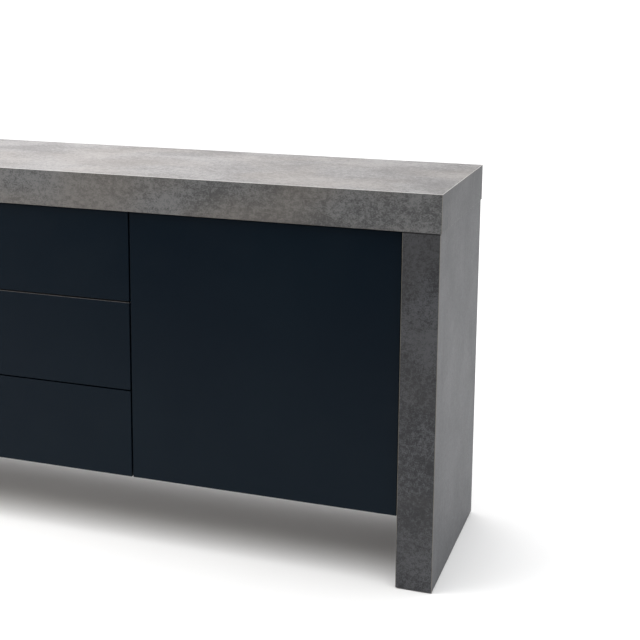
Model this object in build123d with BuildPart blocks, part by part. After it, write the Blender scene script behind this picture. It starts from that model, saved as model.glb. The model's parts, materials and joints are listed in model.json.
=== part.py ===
from build123d import *
import os

os.makedirs("parts", exist_ok=True)

# Low sideboard: thick slab top on two slab legs, a carcass hung between them,
# a door each side and three drawers in the middle. Front faces -Y, floor at Z = 0.
width = 1800
depth = 390
height = 760
top_thick = 72
leg_thick = 70
leg_inset = 2
glide_thick = 2
skin = 18
leg_skin = 16
core_bar = 40

top_under = height - top_thick
leg_out = width / 2 - leg_inset
leg_in = leg_out - leg_thick
front_y = -depth / 2
back_y = depth / 2

# Fronts hang inside the legs, set back from the slabs' front plane.
recess = 10
front_thick = 18
face_y = front_y + recess
face_back = face_y + front_thick
push_gap = 3
carcass_front = face_back + push_gap
carcass_back = back_y - 25
front_bottom = 140
front_top = top_under - 3
reveal = 3
drawer_count = 3
module = 2 * leg_in / 3
divider_x = module / 2
front_gap = 3.5
edge_round = 0.8

board = 18
floor_under = front_bottom + 3
floor_top = floor_under + board
divider_in = divider_x - board / 2
divider_out = divider_x + board / 2
back_thick = 5
cleat = 18

# Fits and fixings
slack = 0.05
dowel_r = 4
cam_r = 7.5
bolt_r = 3
screw_r = 1.5
screw_head_r = 3.5
screw_len = 12
pin_r = 2.5

# Drawer boxes on three-part ball runners
runner_width = 12.7
box_out = divider_in - runner_width
side_thick = 12
box_in = box_out - side_thick
box_high = 120
box_rise = 32
box_back = face_back + 280
bottom_thick = 6
groove_up = 10
runner_rise = 60
runner_start = carcass_front + 2
runner_end = runner_start + 280
runner_sheet = 1.2
side_cam_deep = 10
side_cam_rises = (30, 95)
side_cam_back = 24
pair = (-1, 1)


def mid(ends):
    return (ends[0] + ends[1]) / 2


def slab(xs, ys, zs, mode=Mode.ADD):
    with Locations((mid(xs), mid(ys), mid(zs))):
        Box(xs[1] - xs[0], ys[1] - ys[0], zs[1] - zs[0], mode=mode)


def both(side, near, far):
    return (near, far) if side > 0 else (-far, -near)


def rod(start, axis, length, radius, mode=Mode.ADD):
    with Locations(Plane(origin=start, z_dir=axis)):
        Cylinder(radius, length, align=(Align.CENTER, Align.CENTER, Align.MIN), mode=mode)


def bore(start, axis, length, radius):
    rod(start, axis, length, radius + slack, Mode.SUBTRACT)


def pan_head(start, axis, length):
    back = tuple(-a for a in axis)
    rod(start, axis, length, screw_r)
    rod(start, back, 1.4, screw_head_r)


def keep(builder, name):
    builder.part.label = name
    export_step(builder.part, f"parts/{name}.step")


def drawer_base(index):
    pitch = (front_top - front_bottom + reveal) / drawer_count
    return front_bottom + index * pitch


drawer_front_high = (front_top - front_bottom - reveal * (drawer_count - 1)) / drawer_count

# Places where pieces meet
shelf_rows = (348.5, 412.5, 476.5)
shelf_row = 412.5
shelf_pin_y = (-100, 110)
shelf_hole_deep = 8
hinge_z = (225, 600)
plate_y = carcass_front + 37
plate_screw_z = 16
plate_face = 5
runner_screw_y = (-130, 80)
runner_screw_len = 11
cam_y = (-60, 60)
dowel_y = (-100, 100)
tall_dowel_y = (-120, 120)
leg_dowel_y = back_y - leg_skin - core_bar / 2
dowel_sink = 20
confirmat_y = (-110, 110)
back_screw_z = (200, 420, 640)
bracket_x = 700
bracket_y = back_y - 10
back_screw_r = 1.25
back_screw_sink = 15
floor_screw_x = (-550, 0, 550)
glide_y = back_y - 40
floor_mid = mid((floor_under, floor_top))
leg_mid = mid((leg_in, leg_out))

# ---------------------------------------------------------------- slab top
with BuildPart() as top_shell:
    slab((-width / 2, width / 2), (front_y, back_y), (top_under, height))
    fillet(top_shell.edges(), edge_round)
    slab(
        (skin - width / 2, width / 2 - skin),
        (front_y + skin, back_y - skin),
        (top_under, height - skin),
        Mode.SUBTRACT,
    )
    for side in pair:
        bore((side * bracket_x, bracket_y, top_under), (0, 0, 1), screw_len + slack, screw_r)
keep(top_shell, "top_shell")

with BuildPart() as top_underboard:
    slab(
        (skin - width / 2, width / 2 - skin),
        (front_y + skin, back_y - skin),
        (top_under, top_under + leg_skin),
    )
    for side in pair:
        for y in (-leg_dowel_y, leg_dowel_y):
            bore((side * leg_mid, y, top_under), (0, 0, 1), leg_skin, dowel_r)
        for y in tall_dowel_y:
            bore((side * divider_x, y, top_under), (0, 0, 1), leg_skin, dowel_r)
keep(top_underboard, "top_underboard")

with BuildPart() as top_core:
    slab(
        (skin - width / 2, width / 2 - skin),
        (front_y + skin, back_y - skin),
        (top_under + leg_skin, height - skin),
    )
    bay = (width - 2 * skin - core_bar) / 5
    for step in range(5):
        bay_start = skin - width / 2 + core_bar + step * bay
        slab(
            (bay_start, bay_start + bay - core_bar),
            (front_y + skin + core_bar, back_y - skin - core_bar),
            (top_under + leg_skin, height - skin),
            Mode.SUBTRACT,
        )
keep(top_core, "top_core")


# ---------------------------------------------------------------- slab legs
def make_leg_shell(side):
    with BuildPart() as shell:
        slab(both(side, leg_in, leg_out), (front_y, back_y), (glide_thick, top_under))
        fillet(shell.edges().filter_by(Axis.Z) + shell.edges().group_by(Axis.Z)[0], edge_round)
        slab(
            both(side, leg_in, leg_out - leg_skin),
            (front_y + leg_skin, back_y - leg_skin),
            (glide_thick + leg_skin, top_under),
            Mode.SUBTRACT,
        )
    return shell


def make_leg_inner(side):
    outward = (side, 0, 0)
    with BuildPart() as inner:
        slab(
            both(side, leg_in, leg_in + leg_skin),
            (front_y + leg_skin, back_y - leg_skin),
            (glide_thick + leg_skin, top_under),
        )
        for y in dowel_y:
            bore((side * leg_in, y, floor_mid), outward, leg_skin, dowel_r)
        for y in cam_y:
            bore((side * leg_in, y, floor_mid), outward, leg_skin, bolt_r)
        for y in shelf_pin_y:
            for z in shelf_rows:
                bore((side * leg_in, y, z), outward, shelf_hole_deep + slack, pin_r)
        for z in hinge_z:
            for step in (-plate_screw_z, plate_screw_z):
                bore((side * leg_in, plate_y, z + step), outward, screw_len + slack, screw_r)
    return inner


leg_shell_right = make_leg_shell(1)
leg_shell_left = make_leg_shell(-1)
keep(leg_shell_right, "leg_shell_right")
keep(leg_shell_left, "leg_shell_left")
leg_inner_right = make_leg_inner(1)
leg_inner_left = make_leg_inner(-1)
keep(leg_inner_right, "leg_inner_right")
keep(leg_inner_left, "leg_inner_left")

with BuildPart() as leg_cores:
    window = (top_under - glide_thick - leg_skin - 3 * core_bar) / 2
    for side in pair:
        core_x = both(side, leg_in + leg_skin, leg_out - leg_skin)
        slab(core_x, (front_y + leg_skin, back_y - leg_skin), (glide_thick + leg_skin, top_under))
        for step in range(2):
            low = glide_thick + leg_skin + core_bar + step * (window + core_bar)
            slab(
                core_x,
                (front_y + leg_skin + core_bar, back_y - leg_skin - core_bar),
                (low, low + window),
                Mode.SUBTRACT,
            )
        for y in (-leg_dowel_y, leg_dowel_y):
            bore((side * leg_mid, y, top_under), (0, 0, -1), dowel_sink, dowel_r)
keep(leg_cores, "leg_cores")

with BuildPart() as floor_glides:
    for side in pair:
        for y in (-glide_y, glide_y):
            rod((side * leg_mid, y, 0), (0, 0, 1), glide_thick, 15)
keep(floor_glides, "floor_glides")

# ---------------------------------------------------------------- carcass
with BuildPart() as bottom_panel:
    slab((-leg_in, leg_in), (carcass_front, carcass_back), (floor_under, floor_top))
    for side in pair:
        inward = (-side, 0, 0)
        for y in dowel_y:
            bore((side * leg_in, y, floor_mid), inward, 19, dowel_r)
        for y in cam_y:
            bore((side * leg_in, y, floor_mid), inward, 27, bolt_r)
            bore((side * (leg_in - 34), y, floor_under), (0, 0, 1), 12.6, cam_r)
        for y in confirmat_y:
            bore((side * divider_x, y, floor_under), (0, 0, 1), board, 2.5)
            bore((side * divider_x, y, floor_under), (0, 0, 1), 4, 5)
    for x in floor_screw_x:
        bore((x, carcass_back, floor_mid), (0, -1, 0), back_screw_sink, back_screw_r)
keep(bottom_panel, "bottom_panel")


def make_divider(side):
    with BuildPart() as divider:
        slab(
            both(side, divider_in, divider_out),
            (carcass_front, carcass_back),
            (floor_top, top_under),
        )
        for y in confirmat_y:
            bore((side * divider_x, y, floor_top), (0, 0, 1), 32.1, 2.5)
        for y in tall_dowel_y:
            bore((side * divider_x, y, top_under), (0, 0, -1), dowel_sink, dowel_r)
        for y in shelf_pin_y:
            for z in shelf_rows:
                bore((side * divider_out, y, z), (-side, 0, 0), shelf_hole_deep + slack, pin_r)
        for index in range(drawer_count):
            for y in runner_screw_y:
                level = drawer_base(index) + box_rise + runner_rise
                bore((side * divider_in, y, level), (side, 0, 0), runner_screw_len, screw_r)
        for z in back_screw_z:
            for x in (divider_x - 5, divider_x + 5):
                bore((side * x, carcass_back, z), (0, -1, 0), back_screw_sink, back_screw_r)
    return divider


divider_right = make_divider(1)
divider_left = make_divider(-1)
keep(divider_right, "divider_right")
keep(divider_left, "divider_left")

back_screw_places = [(x, floor_mid) for x in floor_screw_x]
for z in back_screw_z:
    for x in (divider_x - 5, divider_x + 5, leg_in - cleat / 2):
        back_screw_places += [(x, z), (-x, z)]


def make_back_panel(xs):
    with BuildPart() as panel:
        slab(xs, (carcass_back, carcass_back + back_thick), (floor_under, top_under - 1))
        for x, z in back_screw_places:
            if xs[0] < x < xs[1]:
                bore((x, carcass_back, z), (0, 1, 0), back_thick, back_screw_r)
    return panel


back_panel_right = make_back_panel((divider_x + 0.25, leg_in - 0.5))
back_panel_center = make_back_panel((0.25 - divider_x, divider_x - 0.25))
back_panel_left = make_back_panel((0.5 - leg_in, -divider_x - 0.25))
keep(back_panel_right, "back_panel_right")
keep(back_panel_center, "back_panel_center")
keep(back_panel_left, "back_panel_left")

with BuildPart() as back_cleats:
    for side in pair:
        slab(
            both(side, leg_in - cleat, leg_in),
            (carcass_back - cleat, carcass_back),
            (floor_top, top_under),
        )
        for z in back_screw_z:
            place = (side * (leg_in - cleat / 2), carcass_back, z)
            bore(place, (0, -1, 0), back_screw_sink, back_screw_r)
keep(back_cleats, "back_cleats")


def make_shelf(side):
    with BuildPart() as shelf:
        slab(
            both(side, divider_out + 1, leg_in - 1),
            (carcass_front + 24, carcass_back - cleat - 2),
            (shelf_row + pin_r, shelf_row + pin_r + board),
        )
    return shelf


shelf_right = make_shelf(1)
shelf_left = make_shelf(-1)
keep(shelf_right, "shelf_right")
keep(shelf_left, "shelf_left")

with BuildPart() as shelf_pins:
    for side in pair:
        for y in shelf_pin_y:
            rod((side * (divider_out - shelf_hole_deep), y, shelf_row), (side, 0, 0), 16, pin_r)
            rod((side * (leg_in + shelf_hole_deep), y, shelf_row), (-side, 0, 0), 16, pin_r)
keep(shelf_pins, "shelf_pins")

# ---------------------------------------------------------------- fixings
with BuildPart() as cam_locks:
    for side in pair:
        for y in cam_y:
            place = (side * (leg_in - 34), y, floor_under)
            rod(place, (0, 0, 1), 12.5, cam_r)
            with Locations((place[0], place[1], place[2] + 0.6)):
                Box(9, 1.6, 1.2, mode=Mode.SUBTRACT)
                Box(1.6, 9, 1.2, mode=Mode.SUBTRACT)
keep(cam_locks, "cam_locks")

with BuildPart() as cam_bolts:
    for side in pair:
        for y in cam_y:
            rod((side * (leg_in + leg_skin), y, floor_mid), (-side, 0, 0), leg_skin + 26.3, bolt_r)
keep(cam_bolts, "cam_bolts")

with BuildPart() as dowels:
    for side in pair:
        for y in (-leg_dowel_y, leg_dowel_y):
            rod((side * leg_mid, y, top_under - dowel_sink), (0, 0, 1), dowel_sink + leg_skin, dowel_r)
        for y in tall_dowel_y:
            rod((side * divider_x, y, top_under - dowel_sink), (0, 0, 1), dowel_sink + leg_skin, dowel_r)
        for y in dowel_y:
            rod((side * (leg_in + leg_skin), y, floor_mid), (-side, 0, 0), leg_skin + 19, dowel_r)
keep(dowels, "dowels")

with BuildPart() as confirmat_screws:
    for side in pair:
        for y in confirmat_y:
            rod((side * divider_x, y, floor_under), (0, 0, 1), 50, 2.5)
            rod((side * divider_x, y, floor_under), (0, 0, 1), 4, 5)
keep(confirmat_screws, "confirmat_screws")

with BuildPart() as back_screws:
    for x, z in back_screw_places:
        rod((x, carcass_back + back_thick, z), (0, -1, 0), back_thick + back_screw_sink, back_screw_r)
        rod((x, carcass_back + back_thick, z), (0, 1, 0), 1.2, 3)
keep(back_screws, "back_screws")

with BuildPart() as wall_brackets:
    for side in pair:
        xs = (side * bracket_x - 15, side * bracket_x + 15)
        slab(xs, (back_y - 2, back_y), (top_under - 48, top_under))
        slab(xs, (carcass_back + back_thick + 2, back_y), (top_under - 2, top_under))
        bore((side * bracket_x, bracket_y, top_under - 2), (0, 0, 1), 2, screw_r)
        rod((side * bracket_x, back_y - 2, top_under - 33), (0, 1, 0), 2, 3, Mode.SUBTRACT)
keep(wall_brackets, "wall_brackets")

with BuildPart() as panhead_screws:
    for side in pair:
        for z in hinge_z:
            for step in (-plate_screw_z, plate_screw_z):
                start = (side * (leg_in - plate_face), plate_y, z + step)
                pan_head(start, (side, 0, 0), plate_face + screw_len)
        for index in range(drawer_count):
            for y in runner_screw_y:
                level = drawer_base(index) + box_rise + runner_rise
                start = (side * (divider_in - runner_sheet), y, level)
                pan_head(start, (side, 0, 0), runner_sheet + runner_screw_len)
        pan_head((side * bracket_x, bracket_y, top_under - 2), (0, 0, 1), 2 + screw_len)
keep(panhead_screws, "panhead_screws")

# ---------------------------------------------------------------- doors
cup_r = 17.5
cup_deep = 12.5
cup_x = leg_in - reveal - 22.5


def make_door(side):
    with BuildPart() as door:
        slab(
            both(side, divider_x + front_gap / 2, leg_in - reveal),
            (face_y, face_back),
            (front_bottom, front_top),
        )
        fillet(door.edges(), edge_round)
        for z in hinge_z:
            bore((side * cup_x, face_back, z), (0, -1, 0), cup_deep, cup_r)
    return door


def make_hinge_cups(side):
    with BuildPart() as cups:
        for z in hinge_z:
            centre = (side * cup_x, face_back, z)
            rod(centre, (0, -1, 0), cup_deep - 0.2, cup_r - 0.1)
            rod(centre, (0, 1, 0), 1.2, 19)
            with Locations((centre[0], centre[1] + 0.6, z)):
                Box(13, 1.2, 64)
            for step in (-25, 25):
                rod((centre[0], centre[1], z + step), (0, 1, 0), 2.5, 3.2)
            top = (centre[0], centre[1] + 1.2, z)
            rod(top, (0, -1, 0), cup_deep, cup_r - 1.3, Mode.SUBTRACT)
    return cups


door_right = make_door(1)
door_left = make_door(-1)
keep(door_right, "door_right")
keep(door_left, "door_left")
door_right_cups = make_hinge_cups(1)
door_left_cups = make_hinge_cups(-1)
keep(door_right_cups, "door_right_cups")
keep(door_left_cups, "door_left_cups")

# Cranked arms reach from the leg into the hollow of each cup.
arm_half = 7
arm_front = carcass_front - 1
arm_back = carcass_front + 79
nose_tip = face_y + 10

with BuildPart() as hinge_arms:
    for side in pair:
        for z in hinge_z:
            height_range = (z - arm_half, z + arm_half)
            slab(both(side, leg_in - 20, leg_in - 8), (arm_front, arm_back), height_range)
            slab(both(side, leg_in - 34, leg_in - 18), (arm_front, arm_front + 12), height_range)
            slab(both(side, leg_in - 34, leg_in - 22), (nose_tip, carcass_front), (z - 5.5, z + 5.5))
keep(hinge_arms, "hinge_arms")

with BuildPart() as hinge_plates:
    for side in pair:
        for z in hinge_z:
            slab(both(side, leg_in - 8, leg_in), (arm_front + 15, arm_back - 5), (z - 6, z + 6))
            wings = both(side, leg_in - plate_face, leg_in)
            slab(wings, (plate_y - 8, plate_y + 8), (z - 25, z + 25))
            for step in (-plate_screw_z, plate_screw_z):
                bore((side * leg_in, plate_y, z + step), (-side, 0, 0), plate_face, screw_r)
keep(hinge_plates, "hinge_plates")

# ---------------------------------------------------------------- push latches
plunger_r = 3.5
latch_gap = 0.3
door_latch_z = 637
door_latch_x = divider_out + 7
latch_rise = 100
drawer_latch_x = box_out - side_thick / 2
drawer_latch_y = (box_back + 7, box_back + 55)

with BuildPart() as latch_housings:
    for side in pair:
        slab(
            both(side, divider_out, divider_out + 14),
            (carcass_front + 3, carcass_front + 53),
            (door_latch_z - 7, door_latch_z + 7),
        )
        start = (side * door_latch_x, carcass_front + 3, door_latch_z)
        bore(start, (0, 1, 0), 42, plunger_r)
    for index in range(drawer_count):
        level = drawer_base(index) + box_rise + latch_rise
        slab((divider_in - 26, divider_in), drawer_latch_y, (level - 7, level + 7))
        bore((drawer_latch_x, drawer_latch_y[0], level), (0, 1, 0), 40, plunger_r)
keep(latch_housings, "latch_housings")


def make_plunger(x, tip, z, length):
    with BuildPart() as plunger:
        rod((x, tip, z), (0, 1, 0), length, plunger_r)
        fillet(plunger.edges().group_by(Axis.Y)[0], 1)
    return plunger


door_tip = face_back + latch_gap
door_right_plunger = make_plunger(door_latch_x, door_tip, door_latch_z, 45)
door_left_plunger = make_plunger(-door_latch_x, door_tip, door_latch_z, 45)
keep(door_right_plunger, "door_right_plunger")
keep(door_left_plunger, "door_left_plunger")

# ---------------------------------------------------------------- drawers
runner_half = 22.5
rail_half = 20.6
bar_half = 17.5


def channel(side, web, lips, half):
    with BuildPart() as profile:
        with BuildSketch(Plane.XZ.offset(-runner_start)):
            with Locations((side * mid((web, lips)), 0)):
                Rectangle(abs(web - lips), 2 * half)
            inner = web - runner_sheet if web > lips else web + runner_sheet
            with Locations((side * mid((inner, lips)), 0)):
                Rectangle(abs(inner - lips), 2 * (half - runner_sheet), mode=Mode.SUBTRACT)
        extrude(amount=runner_start - runner_end)
    return profile.part


def place_pair(levels, web, lips, half):
    shapes = [channel(side, web, lips, half) for side in pair]
    return [shape.moved(Location((0, 0, z))) for z in levels for shape in shapes]


runner_levels = [drawer_base(index) + box_rise + runner_rise for index in range(drawer_count)]
fixed_shapes = place_pair(runner_levels, divider_in, divider_in - 10, runner_half)

with BuildPart() as fixed_runners:
    add(fixed_shapes)
    for level in runner_levels:
        for side in pair:
            for y in runner_screw_y:
                bore((side * divider_in, y, level), (-side, 0, 0), runner_sheet, screw_r)
keep(fixed_runners, "fixed_runners")


def make_front(base):
    half = divider_x - front_gap / 2
    with BuildPart() as front:
        slab((-half, half), (face_y, face_back), (base, base + drawer_front_high))
        fillet(front.edges(), edge_round)
        for side in pair:
            for rise in side_cam_rises:
                place = (side * mid((box_in, box_out)), face_back, base + box_rise + rise)
                bore(place, (0, -1, 0), 10, bolt_r)
    return front


def make_sides(low):
    with BuildPart() as sides:
        for side in pair:
            slab(both(side, box_in, box_out), (face_back, box_back), (low, low + box_high))
            slab(
                both(side, box_in, box_in + 6),
                (face_back, box_back),
                (low + groove_up, low + groove_up + bottom_thick),
                Mode.SUBTRACT,
            )
            for rise in side_cam_rises:
                middle = side * mid((box_in, box_out))
                bore((middle, face_back, low + rise), (0, 1, 0), side_cam_back, bolt_r)
                pocket = (side * box_in, face_back + side_cam_back, low + rise)
                bore(pocket, (side, 0, 0), side_cam_deep + slack, cam_r)
    return sides


def make_fixings(low):
    with BuildPart() as fixings:
        for side in pair:
            for rise in side_cam_rises:
                middle = side * mid((box_in, box_out))
                start = (middle, face_back - 10, low + rise)
                rod(start, (0, 1, 0), 10 + side_cam_back, bolt_r)
                pocket = (side * box_in, face_back + side_cam_back, low + rise)
                rod(pocket, (side, 0, 0), side_cam_deep, cam_r)
    return fixings


def make_box_back(low):
    with BuildPart() as back:
        slab(
            (-box_in, box_in),
            (box_back - side_thick, box_back),
            (low + groove_up + bottom_thick, low + box_high),
        )
    return back


def make_box_bottom(low):
    with BuildPart() as bottom:
        slab(
            (-box_in - 6, box_in + 6),
            (face_back, box_back),
            (low + groove_up, low + groove_up + bottom_thick),
        )
    return bottom


def make_runner(level, web, lips, half):
    shapes = place_pair([level], web, lips, half)
    with BuildPart() as runner:
        add(shapes)
    return runner


for index in range(drawer_count):
    base = drawer_base(index)
    low = base + box_rise
    name = f"drawer_{index + 1}"
    keep(make_front(base), f"{name}_front")
    keep(make_sides(low), f"{name}_sides")
    keep(make_box_back(low), f"{name}_back")
    keep(make_box_bottom(low), f"{name}_bottom")
    keep(make_fixings(low), f"{name}_fixings")
    keep(make_runner(low + runner_rise, box_out, box_out + 7, bar_half), f"{name}_runner")
    keep(make_runner(low + runner_rise, divider_in - 3.5, divider_in - 10, rail_half), f"{name}_rail")
    tip = box_back + latch_gap
    keep(make_plunger(drawer_latch_x, tip, low + latch_rise, 42), f"{name}_plunger")
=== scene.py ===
import json
import math

import bpy
from mathutils import Euler, Matrix, Vector


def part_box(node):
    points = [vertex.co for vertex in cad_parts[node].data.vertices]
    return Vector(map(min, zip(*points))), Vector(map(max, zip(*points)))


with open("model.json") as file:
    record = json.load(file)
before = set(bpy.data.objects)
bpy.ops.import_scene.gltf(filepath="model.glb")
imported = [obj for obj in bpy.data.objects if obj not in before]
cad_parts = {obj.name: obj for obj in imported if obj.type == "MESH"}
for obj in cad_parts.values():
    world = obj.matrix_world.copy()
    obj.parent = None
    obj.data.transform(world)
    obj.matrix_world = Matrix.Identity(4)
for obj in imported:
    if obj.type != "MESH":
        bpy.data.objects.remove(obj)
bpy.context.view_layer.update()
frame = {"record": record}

MM = 0.001
WHITE = (1.0, 1.0, 1.0)
EVEN = (1.0, 1.0, 1.0)
CENTRED = (0.0, 0.0, 0.0)


# ------------------------------------------------------------------ node helpers
class Nodes:
    """Short calls for the nodes of one tree. Where a call takes a socket, it takes a plain value too."""

    def __init__(self, tree):
        self.tree = tree

    def node(self, kind, **settings):
        made = self.tree.nodes.new(kind)
        for key, value in settings.items():
            setattr(made, key, value)
        return made

    def link(self, source, target):
        if hasattr(source, "node"):
            self.tree.links.new(source, target)
        else:
            target.default_value = source

    def math(self, operation, first, second=0.0):
        made = self.node("ShaderNodeMath", operation=operation)
        self.link(first, made.inputs[0])
        self.link(second, made.inputs[1])
        return made.outputs[0]

    def parts(self, vector):
        """A vector's X, Y and Z."""
        made = self.node("ShaderNodeSeparateXYZ")
        self.link(vector, made.inputs[0])
        return made.outputs


class Shader(Nodes):
    """One node material. Its textures lie in the frame's coordinates, in metres, and ride with the piece."""

    def __init__(self, name):
        self.material = bpy.data.materials.new(name)
        self.material.use_nodes = True
        super().__init__(self.material.node_tree)
        self.bsdf = self.tree.nodes["Principled BSDF"]
        self.place = self.node("ShaderNodeTexCoord").outputs["Object"]

    def stretch(self, scale, offset=CENTRED):
        mapping = self.node("ShaderNodeMapping")
        mapping.inputs["Scale"].default_value = scale
        mapping.inputs["Location"].default_value = offset
        self.link(self.place, mapping.inputs["Vector"])
        return mapping.outputs["Vector"]

    def noise(self, scale, detail=3.0, rough=0.5, place=None, warp=0.0):
        made = self.node("ShaderNodeTexNoise")
        made.inputs["Scale"].default_value = scale
        made.inputs["Detail"].default_value = detail
        made.inputs["Roughness"].default_value = rough
        made.inputs["Distortion"].default_value = warp
        self.link(place or self.place, made.inputs["Vector"])
        return made.outputs["Fac"]

    def cells(self, scale, output="Distance", place=None):
        made = self.node("ShaderNodeTexVoronoi")
        made.inputs["Scale"].default_value = scale
        self.link(place or self.place, made.inputs["Vector"])
        return made.outputs[output]

    def span(self, value, low, high, new_low=0.0, new_high=1.0):
        """A smooth step from new_low, where the value is low, to new_high, where it is high."""
        made = self.node("ShaderNodeMapRange", interpolation_type="SMOOTHSTEP")
        limits = {"From Min": low, "From Max": high, "To Min": new_low, "To Max": new_high}
        for socket, number in limits.items():
            made.inputs[socket].default_value = number
        self.link(value, made.inputs["Value"])
        return made.outputs["Result"]

    def blend(self, *weighted):
        """The sum of values, each given with its weight."""
        shares = [self.math("MULTIPLY", value, weight) for value, weight in weighted]
        total = shares[0]
        for share in shares[1:]:
            total = self.math("ADD", total, share)
        return total

    def mix(self, amount, first, second):
        made = self.node("ShaderNodeMix", data_type="RGBA", blend_type="MIX")
        sockets = [socket for socket in made.inputs if socket.type == "RGBA"]
        self.link(amount, made.inputs["Factor"])
        for value, socket in zip((first, second), sockets):
            self.link((*value, 1.0) if isinstance(value, tuple) else value, socket)
        return next(socket for socket in made.outputs if socket.type == "RGBA")

    def normal(self):
        return self.parts(self.node("ShaderNodeNewGeometry").outputs["True Normal"])

    def edges(self):
        """1 on rounded edges that look sideways or up, and 0 on flat faces and under edges: the mask of the
        painted edge highlight.
        """
        normal = self.normal()
        sizes = [self.math("ABSOLUTE", part) for part in normal]
        largest = self.math("MAXIMUM", self.math("MAXIMUM", sizes[0], sizes[1]), sizes[2])
        upward = self.span(normal["Z"], -0.3, -0.05)
        return self.math("MULTIPLY", self.span(largest, 0.9995, 0.98), upward)

    def end_faces(self):
        """1 on the faces at the object's two ends, which look along X."""
        return self.span(self.math("ABSOLUTE", self.normal()["X"]), 0.9, 0.99)

    def level_faces(self, side):
        """1 on the faces that look up, for a side of 1, or down, for a side of -1."""
        return self.span(self.math("MULTIPLY", self.normal()["Z"], side), 0.3, 0.9)

    def near_height(self, height, reach):
        """1 within half the reach of a height above the floor, and 0 past the reach."""
        away = self.math("ABSOLUTE", self.math("SUBTRACT", self.parts(self.place)["Z"], height))
        return self.span(away, reach, 0.5 * reach)

    def colour(self, value):
        self.link((*value, 1.0) if isinstance(value, tuple) else value, self.bsdf.inputs["Base Color"])

    def rough(self, value):
        self.link(value, self.bsdf.inputs["Roughness"])

    def bump(self, height, depth):
        made = self.node("ShaderNodeBump")
        made.inputs["Distance"].default_value = depth
        made.inputs["Strength"].default_value = 1.0
        self.link(height, made.inputs["Height"])
        self.link(made.outputs["Normal"], self.bsdf.inputs["Normal"])

    def plain(self, **values):
        for name, value in values.items():
            self.bsdf.inputs[name.replace("_", " ")].default_value = value


# ------------------------------------------------------------------ materials
# Painted highlights on the slabs' rounded edges: pale on upward-facing edges, beige on sideways ones
UPPER_EDGE_HIGHLIGHT = (0.72, 0.70, 0.70)
SIDE_EDGE_HIGHLIGHT = (0.17, 0.155, 0.125)
# Painted shade: a near-black line on the legs just under the top, where the seam between them lies in shade
JOINT_SHADE = (0.004, 0.004, 0.005)
JOINT_LINE = 3.0 * MM
END_GLOSS = 0.47


def concrete(name, tones, warm, ends, gloss, stretch=EVEN, offset=CENTRED, joint=None):
    """Concrete-effect laminate: broad clouds, small mottling, grain, warm stains, pits, brushed end faces,
    painted highlights on the rounded edges, and painted shade in a line at the height of a joint if one is
    given."""
    s = Shader(name)
    dark, light = tones
    place = s.stretch(stretch, offset)
    clouds = s.noise(9.0, 3.0, 0.55, place, 0.4)
    mottle = s.noise(130.0, 5.0, 0.75, place, 0.3)
    grain = s.noise(390.0, 3.0, 0.75, place)
    shade = s.blend((clouds, 0.28), (mottle, 0.36), (grain, 0.36))
    colour = s.mix(s.span(shade, 0.435, 0.57), dark, light)

    stain = s.span(s.noise(5.0, 2.0, 0.5, place, 0.6), 0.42, 0.66, 0.0, 0.55)
    stain_colour = s.mix(s.span(mottle, 0.35, 0.65), tuple(0.72 * part for part in warm), warm)
    colour = s.mix(stain, colour, stain_colour)

    pits = s.span(s.cells(240.0, place=place), 0.20, 0.05, 0.0, 0.30)
    pits = s.math("MULTIPLY", pits, s.span(s.noise(38.0, 2.0, 0.5, place), 0.5, 0.62))
    colour = s.mix(pits, colour, tuple(0.45 * part for part in dark))

    streaks = s.noise(160.0, 2.0, 0.5, s.stretch((1.0, 1.0, 0.03)))
    brushed = s.blend((streaks, 0.5), (shade, 0.5))
    colour = s.mix(s.end_faces(), colour, s.mix(s.span(brushed, 0.38, 0.62), *ends))
    # Painted highlight: sideways edges turn beige and upward edges pale, while under edges keep the slab
    # colour
    colour = s.mix(s.edges(), colour, s.mix(s.level_faces(1.0), SIDE_EDGE_HIGHLIGHT, UPPER_EDGE_HIGHLIGHT))
    # Painted shade along the seam under the top, weaker on the end faces
    if joint:
        weaker_on_ends = s.span(s.end_faces(), 0.0, 1.0, 1.0, 0.4)
        line = s.math("MULTIPLY", s.near_height(joint, JOINT_LINE), weaker_on_ends)
        colour = s.mix(line, colour, JOINT_SHADE)
    s.colour(colour)

    rough = s.span(shade, 0.34, 0.66, gloss + 0.08, gloss - 0.05)
    s.rough(s.math("ADD", rough, s.math("MULTIPLY", s.end_faces(), END_GLOSS - gloss)))
    s.bump(s.math("SUBTRACT", shade, pits), 0.18 * MM)
    s.plain(Specular_IOR_Level=0.42)
    return s.material


def lacquer(name, tones, top_highlight):
    """Matte lacquer: near-even colour with a faint spray texture, and a given tone on its upward faces,
    which is a painted highlight where that tone is lighter than the lacquer.
    """
    s = Shader(name)
    cloud = s.noise(3.0, 2.0, 0.5)
    s.colour(s.mix(s.level_faces(1.0), s.mix(s.span(cloud, 0.35, 0.65), *tones), top_highlight))
    peel = s.noise(900.0, 2.0, 0.5)
    s.rough(s.span(s.noise(14.0, 3.0), 0.3, 0.7, 0.40, 0.46))
    s.bump(peel, 0.03 * MM)
    s.plain(Specular_IOR_Level=0.10)
    return s.material


def melamine(name, tones, depth=0.06 * MM, backing=None):
    """Printed melamine board with a fine pearl texture, and a plain sheet under it if one is given."""
    s = Shader(name)
    pearl = s.noise(520.0, 3.0, 0.6)
    flecks = s.noise(95.0, 3.0, 0.7, s.stretch((0.25, 1.0, 1.0)))
    shade = s.blend((pearl, 0.45), (flecks, 0.55))
    colour = s.mix(s.span(shade, 0.38, 0.62), *tones)
    if backing:
        colour = s.mix(s.level_faces(-1.0), colour, s.mix(s.span(flecks, 0.3, 0.7), *backing))
    s.colour(colour)
    s.rough(s.span(pearl, 0.3, 0.7, 0.46, 0.62))
    s.bump(pearl, depth)
    s.plain(Specular_IOR_Level=0.35)
    return s.material


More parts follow.
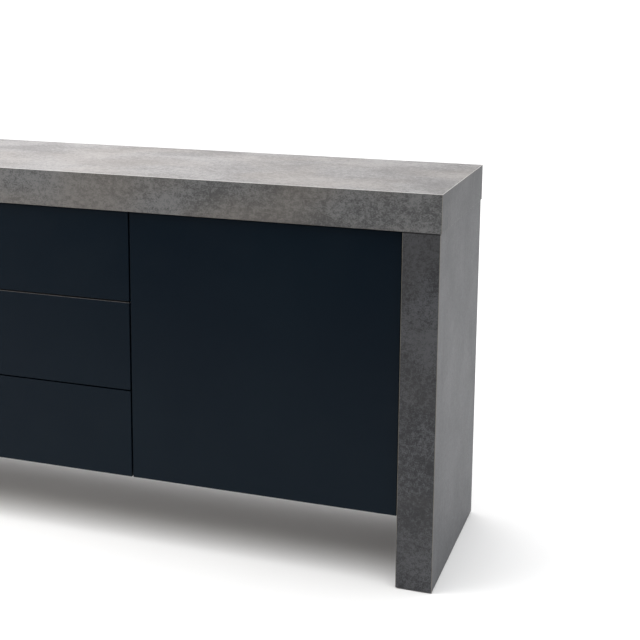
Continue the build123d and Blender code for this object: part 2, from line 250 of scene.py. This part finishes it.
def chipboard(name, tones):
    s = Shader(name)
    flake = s.cells(260.0, "Color", s.stretch((0.45, 0.7, 1.0)))
    shade = s.blend((flake, 0.6), (s.noise(120.0, 4.0, 0.7), 0.4))
    s.colour(s.mix(s.span(shade, 0.2, 0.8), *tones))
    s.rough(s.span(shade, 0.2, 0.8, 0.85, 0.7))
    s.bump(shade, 0.3 * MM)
    return s.material


def beech(name, tones):
    s = Shader(name)
    pores = s.noise(700.0, 3.0, 0.6, s.stretch((1.0, 1.0, 0.08)))
    s.colour(s.mix(s.span(pores, 0.35, 0.65), *tones))
    s.rough(s.span(pores, 0.3, 0.7, 0.7, 0.55))
    s.bump(pores, 0.1 * MM)
    return s.material


def metal(name, tones, low, high, stretch=EVEN):
    """Plated or cast metal: drawn streaks, small stains and uneven gloss."""
    s = Shader(name)
    streak = s.noise(600.0, 3.0, 0.6, s.stretch(stretch))
    shade = s.blend((streak, 0.5), (s.noise(60.0, 3.0, 0.6), 0.5))
    s.colour(s.mix(s.span(shade, 0.35, 0.65), *tones))
    s.rough(s.span(shade, 0.35, 0.65, high, low))
    s.bump(streak, 0.03 * MM)
    s.plain(Metallic=1.0)
    return s.material


def plastic(name, tones):
    """Moulded plastic with a spark-eroded texture."""
    s = Shader(name)
    spark = s.noise(1400.0, 2.0, 0.6)
    s.colour(s.mix(s.span(s.noise(30.0, 2.0), 0.35, 0.65), *tones))
    s.rough(s.span(spark, 0.3, 0.7, 0.42, 0.58))
    s.bump(spark, 0.05 * MM)
    s.plain(Specular_IOR_Level=0.4)
    return s.material


# The dark and the light tone of each material
FRONT = (0.0006, 0.0047, 0.0102), (0.0013, 0.0059, 0.0115)
CARCASS = (0.030, 0.031, 0.034), (0.052, 0.053, 0.057)
BACKING = (0.052, 0.051, 0.050), (0.075, 0.073, 0.071)
DRAWER_BOX = (0.39, 0.38, 0.36), (0.47, 0.46, 0.44)
BACK_PANEL = (0.040, 0.041, 0.044), (0.062, 0.063, 0.067)
CHIPS = (0.24, 0.15, 0.08), (0.56, 0.42, 0.26)
BEECH = (0.42, 0.27, 0.14), (0.66, 0.48, 0.29)
ZINC = (0.50, 0.51, 0.53), (0.72, 0.73, 0.74)
CAM_ALLOY = (0.45, 0.45, 0.46), (0.62, 0.62, 0.63)
BLACK_STEEL = (0.030, 0.030, 0.033), (0.060, 0.060, 0.065)
LATCH = (0.045, 0.046, 0.050), (0.062, 0.063, 0.068)
PLUNGER = (0.36, 0.36, 0.37), (0.44, 0.44, 0.45)
GLIDE = (0.010, 0.010, 0.011), (0.017, 0.017, 0.018)
TOP = (0.061, 0.062, 0.064), (0.166, 0.167, 0.169)
TOP_ENDS = (0.036, 0.038, 0.042), (0.050, 0.052, 0.058)
LEG = (0.012, 0.013, 0.016), (0.066, 0.068, 0.075)
LEG_ENDS = (0.043, 0.045, 0.050), (0.054, 0.056, 0.063)

# Single tones and the layout of the patterns
TOP_WARM = (0.180, 0.164, 0.148)
LEG_WARM = (0.043, 0.043, 0.045)
# Painted highlight on the upward face of the middle drawer front
DRAWER_TOP_HIGHLIGHT = (0.110, 0.104, 0.104)
TOP_STRETCH, TOP_OFFSET = (0.7, 1.0, 1.0), (1.23, 0.0, 0.0)
DRAWN_ALONG_Y = (1.0, 0.05, 1.0)
UNDER_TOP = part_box("top_shell")[0][2]

MATERIALS = {
    "dark_front": lacquer("dark_front", FRONT, FRONT[0]),
    "carcass_board": melamine("carcass_board", CARCASS),
    "drawer_board": melamine("drawer_board", DRAWER_BOX, 0.09 * MM),
    "back_board": melamine("back_board", BACK_PANEL, 0.04 * MM),
    "raw_board": chipboard("raw_board", CHIPS),
    "dowel_beech": beech("dowel_beech", BEECH),
    "zinc_steel": metal("zinc_steel", ZINC, 0.24, 0.42, DRAWN_ALONG_Y),
    "cam_alloy": metal("cam_alloy", CAM_ALLOY, 0.38, 0.55),
    "black_steel": metal("black_steel", BLACK_STEEL, 0.35, 0.5),
    "latch_plastic": plastic("latch_plastic", LATCH),
    "plunger_plastic": plastic("plunger_plastic", PLUNGER),
    "glide_plastic": plastic("glide_plastic", GLIDE),
}
BACKED_BOARD = melamine("carcass_board_backed", CARCASS, backing=BACKING)
HIGHLIT_DRAWER_FRONT = lacquer("dark_front_highlit", FRONT, DRAWER_TOP_HIGHLIGHT)
SLAB_TOP = concrete("concrete_top", TOP, TOP_WARM, TOP_ENDS, 0.34, TOP_STRETCH, TOP_OFFSET)
SLAB_LEG = concrete("concrete_leg", LEG, LEG_WARM, LEG_ENDS, 0.46, joint=UNDER_TOP)


def dress_cad():
    """Every CAD piece gets the node material of its slot in the record."""
    slots = {part["node"]: part["material_slot"] for part in frame["record"]["subparts"]}
    for node, slot in slots.items():
        if slot == "concrete_laminate":
            material = SLAB_TOP if node.startswith("top") else SLAB_LEG
        # The middle drawer front gets a painted highlight on its upward face.
        elif node == "drawer_2_front":
            material = HIGHLIT_DRAWER_FRONT
        elif node == "bottom_panel":
            material = BACKED_BOARD
        else:
            material = MATERIALS[slot]
        piece = bpy.data.objects[node]
        piece.data.materials.clear()
        piece.data.materials.append(material)


# ------------------------------------------------------------------ studio
FLOOR_FAR, FLOOR_FRONT = 150.0, 1.7
FLOOR_TONES = (0.86, 0.86, 0.86), (0.88, 0.88, 0.88)


def make_floor():
    """A white floor that ends in front of the object, where the white background takes over."""
    mesh = bpy.data.meshes.new("floor")
    corners = [(-FLOOR_FAR, -FLOOR_FRONT, 0), (FLOOR_FAR, -FLOOR_FRONT, 0)]
    corners += [(FLOOR_FAR, FLOOR_FAR, 0), (-FLOOR_FAR, FLOOR_FAR, 0)]
    mesh.from_pydata(corners, [], [(0, 1, 2, 3)])
    floor = bpy.data.objects.new("floor", mesh)
    bpy.context.scene.collection.objects.link(floor)
    s = Shader("studio_floor")
    s.colour(s.mix(s.span(s.noise(1.5), 0.3, 0.7), *FLOOR_TONES))
    s.rough(0.9)
    s.plain(Specular_IOR_Level=0.0)
    mesh.materials.append(s.material)


ZENITH, ZENITH_FOCUS = 3.45, 4.0
RIGHT, RIGHT_FOCUS = 0.28, 2.0
GLOW, GLOW_FOCUS = 2.02, 5.0
GLOW_ALONG_X, GLOW_ALONG_Y = -0.58, 0.815
GLOW_COLOUR = (1.0, 0.955, 0.945)
AMBIENT = 0.07


def make_world():
    """A studio lit from overhead, a little from the right, and by a warm glow behind the object at its
    left. The camera sees it plain white."""
    world = bpy.data.worlds.new("studio")
    bpy.context.scene.world = world
    world.use_nodes = True
    world.node_tree.nodes.clear()
    n = Nodes(world.node_tree)

    def light_from(side, focus, strength):
        return n.math("MULTIPLY", n.math("POWER", n.math("MAXIMUM", side, 0.0), focus), strength)

    def background(colour, strength):
        made = n.node("ShaderNodeBackground")
        n.link((*colour, 1.0), made.inputs["Color"])
        n.link(strength, made.inputs["Strength"])
        return made.outputs[0]

    x, y, z = n.parts(n.node("ShaderNodeTexCoord").outputs["Generated"])
    light = n.math("ADD", light_from(z, ZENITH_FOCUS, ZENITH), light_from(x, RIGHT_FOCUS, RIGHT))
    light = n.math("ADD", light, AMBIENT)
    towards_glow = n.math("ADD", n.math("MULTIPLY", y, GLOW_ALONG_Y), n.math("MULTIPLY", x, GLOW_ALONG_X))
    glow = light_from(towards_glow, GLOW_FOCUS, GLOW)

    lit = n.node("ShaderNodeAddShader")
    n.link(background(WHITE, light), lit.inputs[0])
    n.link(background(GLOW_COLOUR, glow), lit.inputs[1])
    choose = n.node("ShaderNodeMixShader")
    n.link(n.node("ShaderNodeLightPath").outputs["Is Camera Ray"], choose.inputs[0])
    n.link(lit.outputs[0], choose.inputs[1])
    n.link(background(WHITE, 1.0), choose.inputs[2])
    n.link(choose.outputs[0], n.node("ShaderNodeOutputWorld").inputs["Surface"])


WARM_WHITE, COOL_WHITE = (1.0, 0.93, 0.85), (0.92, 0.96, 1.0)


def make_softbox(name, place, aim, size, power, colour):
    data = bpy.data.lights.new(name, "AREA")
    data.shape = "RECTANGLE"
    data.size, data.size_y = size
    data.energy = power
    data.color = colour
    lamp = bpy.data.objects.new(name, data)
    lamp.location = place
    lamp.rotation_euler = (Vector(aim) - Vector(place)).to_track_quat("-Z", "Y").to_euler()
    lamp.visible_camera = False
    bpy.context.scene.collection.objects.link(lamp)


def make_softboxes():
    """One over the floor at the front left, a warm fill from the left, and a cool one low at the right."""
    make_softbox("front_floor", (-1.9, -1.5, 2.6), (-0.9, -1.1, 0.0), (2.4, 1.2), 60.0, WHITE)
    make_softbox("fill_left", (-2.2, -1.5, 1.2), (-0.3, -0.2, 0.6), (1.2, 1.2), 22.0, WARM_WHITE)
    make_softbox("side_low", (2.6, 0.3, 0.25), (0.9, 0.0, 0.10), (1.4, 0.4), 7.0, COOL_WHITE)


CAMERA_PLACE = (1.3500, -2.3294, 1.1331)
CAMERA_TURN, CAMERA_TILT, CAMERA_ROLL = 19.140, -9.365, 0.308
CAMERA_LENS, CAMERA_SENSOR = 69.638, 36.0
CAMERA_SHIFT = (0.050, -0.211)
CAMERA_REACH = 200.0


def make_camera():
    data = bpy.data.cameras.new("camera")
    data.lens = CAMERA_LENS
    data.sensor_width = CAMERA_SENSOR
    data.shift_x, data.shift_y = CAMERA_SHIFT
    data.clip_end = CAMERA_REACH
    camera = bpy.data.objects.new("camera", data)
    camera.location = CAMERA_PLACE
    aim = Euler((math.radians(90 + CAMERA_TILT), 0.0, math.radians(CAMERA_TURN))).to_matrix()
    camera.rotation_euler = (aim @ Matrix.Rotation(math.radians(CAMERA_ROLL), 3, "Z")).to_euler()
    bpy.context.scene.collection.objects.link(camera)
    bpy.context.scene.camera = camera


bpy.context.scene.view_settings.view_transform = "Standard"
dress_cad()
make_floor()
make_world()
make_softboxes()
make_camera()
